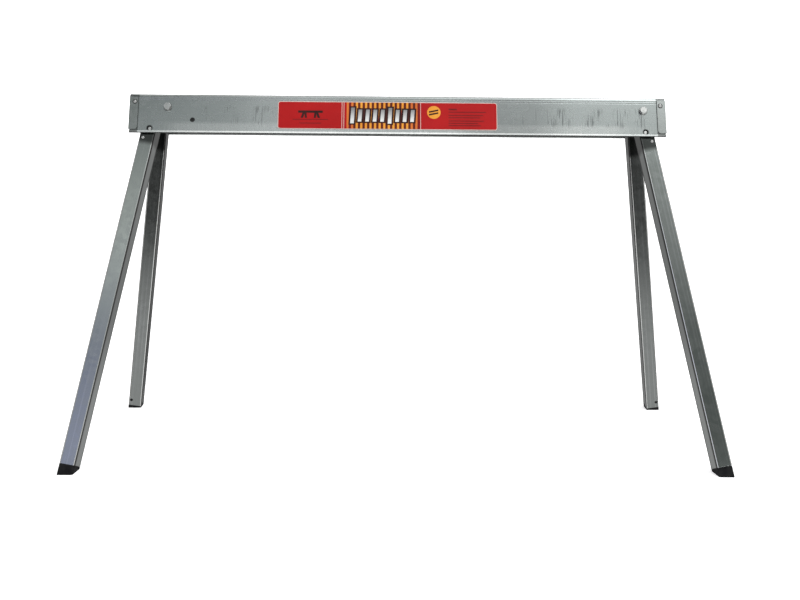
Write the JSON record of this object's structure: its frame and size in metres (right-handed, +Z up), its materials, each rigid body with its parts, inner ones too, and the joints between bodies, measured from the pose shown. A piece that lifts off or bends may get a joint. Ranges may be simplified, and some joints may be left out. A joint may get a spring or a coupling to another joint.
{
  "type": "folding sawhorse",
  "caption": "Folding steel sawhorse: a channel rail on four splayed tube legs that pivot on hex bolts, lock with snap buttons and fold up inside the rail.",
  "frame": {"origin": "on the floor under the middle of the rail", "axes": "+X along the rail, +Y from the labelled wall to the rear wall, +Z up"},
  "size_m": [1.2868, 0.5986, 0.724],
  "materials": {
    "galvanised_steel": "rolled galvanised sheet, satin, faint scuffs",
    "leg_steel": "galvanised drawn tube, satin, lengthwise streaks",
    "zinc_plate": "bright zinc plate",
    "spring_steel": "polished blued spring steel",
    "black_rubber": "matte moulded rubber",
    "nylon": "natural nylon",
    "label": "printed vinyl film, satin"
  },
  "bodies": {
    "beam": {"beam_rail": "galvanised_steel", "end_cap_left": "galvanised_steel", "end_cap_right": "galvanised_steel", "front_label": "label", "end_cap_rivet_front_left": "zinc_plate", "end_cap_rivet_front_right": "zinc_plate", "end_cap_rivet_rear_left": "zinc_plate", "end_cap_rivet_rear_right": "zinc_plate", "pivot_bolt_front_left": "zinc_plate", "pivot_nut_front_left": "zinc_plate", "pivot_washer_front_left": "zinc_plate", "spacer_washer_front_left": "nylon", "pivot_bolt_front_right": "zinc_plate", "pivot_nut_front_right": "zinc_plate", "pivot_washer_front_right": "zinc_plate", "spacer_washer_front_right": "nylon", "pivot_bolt_rear_left": "zinc_plate", "pivot_nut_rear_left": "zinc_plate", "pivot_washer_rear_left": "zinc_plate", "spacer_washer_rear_left": "nylon", "pivot_bolt_rear_right": "zinc_plate", "pivot_nut_rear_right": "zinc_plate", "pivot_washer_rear_right": "zinc_plate", "spacer_washer_rear_right": "nylon"},
    "leg_front_left": {"leg_tube_front_left": "leg_steel", "rubber_foot_front_left": "black_rubber", "foot_pin_front_left": "black_rubber", "pivot_sleeve_front_left": "nylon", "button_spring_front_left": "spring_steel", "spring_rivet_front_left": "zinc_plate", "offset_clevis_front_left": "galvanised_steel", "clevis_rivet_1_front_left": "zinc_plate", "clevis_rivet_2_front_left": "zinc_plate"},
    "button_front_left": {"snap_button_front_left": "zinc_plate"},
    "leg_front_right": {"leg_tube_front_right": "leg_steel", "rubber_foot_front_right": "black_rubber", "foot_pin_front_right": "black_rubber", "pivot_sleeve_front_right": "nylon", "button_spring_front_right": "spring_steel", "spring_rivet_front_right": "zinc_plate"},
    "button_front_right": {"snap_button_front_right": "zinc_plate"},
    "leg_rear_left": {"leg_tube_rear_left": "leg_steel", "rubber_foot_rear_left": "black_rubber", "foot_pin_rear_left": "black_rubber", "pivot_sleeve_rear_left": "nylon", "button_spring_rear_left": "spring_steel", "spring_rivet_rear_left": "zinc_plate", "offset_clevis_rear_left": "galvanised_steel", "clevis_rivet_1_rear_left": "zinc_plate", "clevis_rivet_2_rear_left": "zinc_plate"},
    "button_rear_left": {"snap_button_rear_left": "zinc_plate"},
    "leg_rear_right": {"leg_tube_rear_right": "leg_steel", "rubber_foot_rear_right": "black_rubber", "foot_pin_rear_right": "black_rubber", "pivot_sleeve_rear_right": "nylon", "button_spring_rear_right": "spring_steel", "spring_rivet_rear_right": "zinc_plate"},
    "button_rear_right": {"snap_button_rear_right": "zinc_plate"}
  },
  "joints": [
    {"name": "fold_front_left", "type": "hinge", "parent": "beam", "child": "leg_front_left", "pos_m": [-0.46825, -0.05675, 0.69789], "axis": [0, 0.9425, -0.3341], "range_deg": [-100, 0]},
    {"name": "fold_front_right", "type": "hinge", "parent": "beam", "child": "leg_front_right", "pos_m": [0.49972, -0.05675, 0.69789], "axis": [0, -0.9425, 0.3341], "range_deg": [-100, 0]},
    {"name": "fold_rear_left", "type": "hinge", "parent": "beam", "child": "leg_rear_left", "pos_m": [-0.46825, 0.05675, 0.69789], "axis": [0, 0.9425, 0.3341], "range_deg": [-100, 0]},
    {"name": "fold_rear_right", "type": "hinge", "parent": "beam", "child": "leg_rear_right", "pos_m": [0.49972, 0.05675, 0.69789], "axis": [0, -0.9425, -0.3341], "range_deg": [-100, 0]},
    {"name": "snap_front_left", "type": "slide", "parent": "leg_front_left", "child": "button_front_left", "axis": [0, -0.9425, 0.3341], "range_m": [-0.0025, 0.005], "stiffness_N_per_m": 500, "deforming": ["button_spring_front_left"]},
    {"name": "snap_front_right", "type": "slide", "parent": "leg_front_right", "child": "button_front_right", "axis": [0, -0.9425, 0.3341], "range_m": [-0.0025, 0.005], "stiffness_N_per_m": 500, "deforming": ["button_spring_front_right"]},
    {"name": "snap_rear_left", "type": "slide", "parent": "leg_rear_left", "child": "button_rear_left", "axis": [0, 0.9425, 0.3341], "range_m": [-0.0025, 0.005], "stiffness_N_per_m": 500, "deforming": ["button_spring_rear_left"]},
    {"name": "snap_rear_right", "type": "slide", "parent": "leg_rear_right", "child": "button_rear_right", "axis": [0, 0.9425, 0.3341], "range_m": [-0.0025, 0.005], "stiffness_N_per_m": 500, "deforming": ["button_spring_rear_right"]}
  ]
}
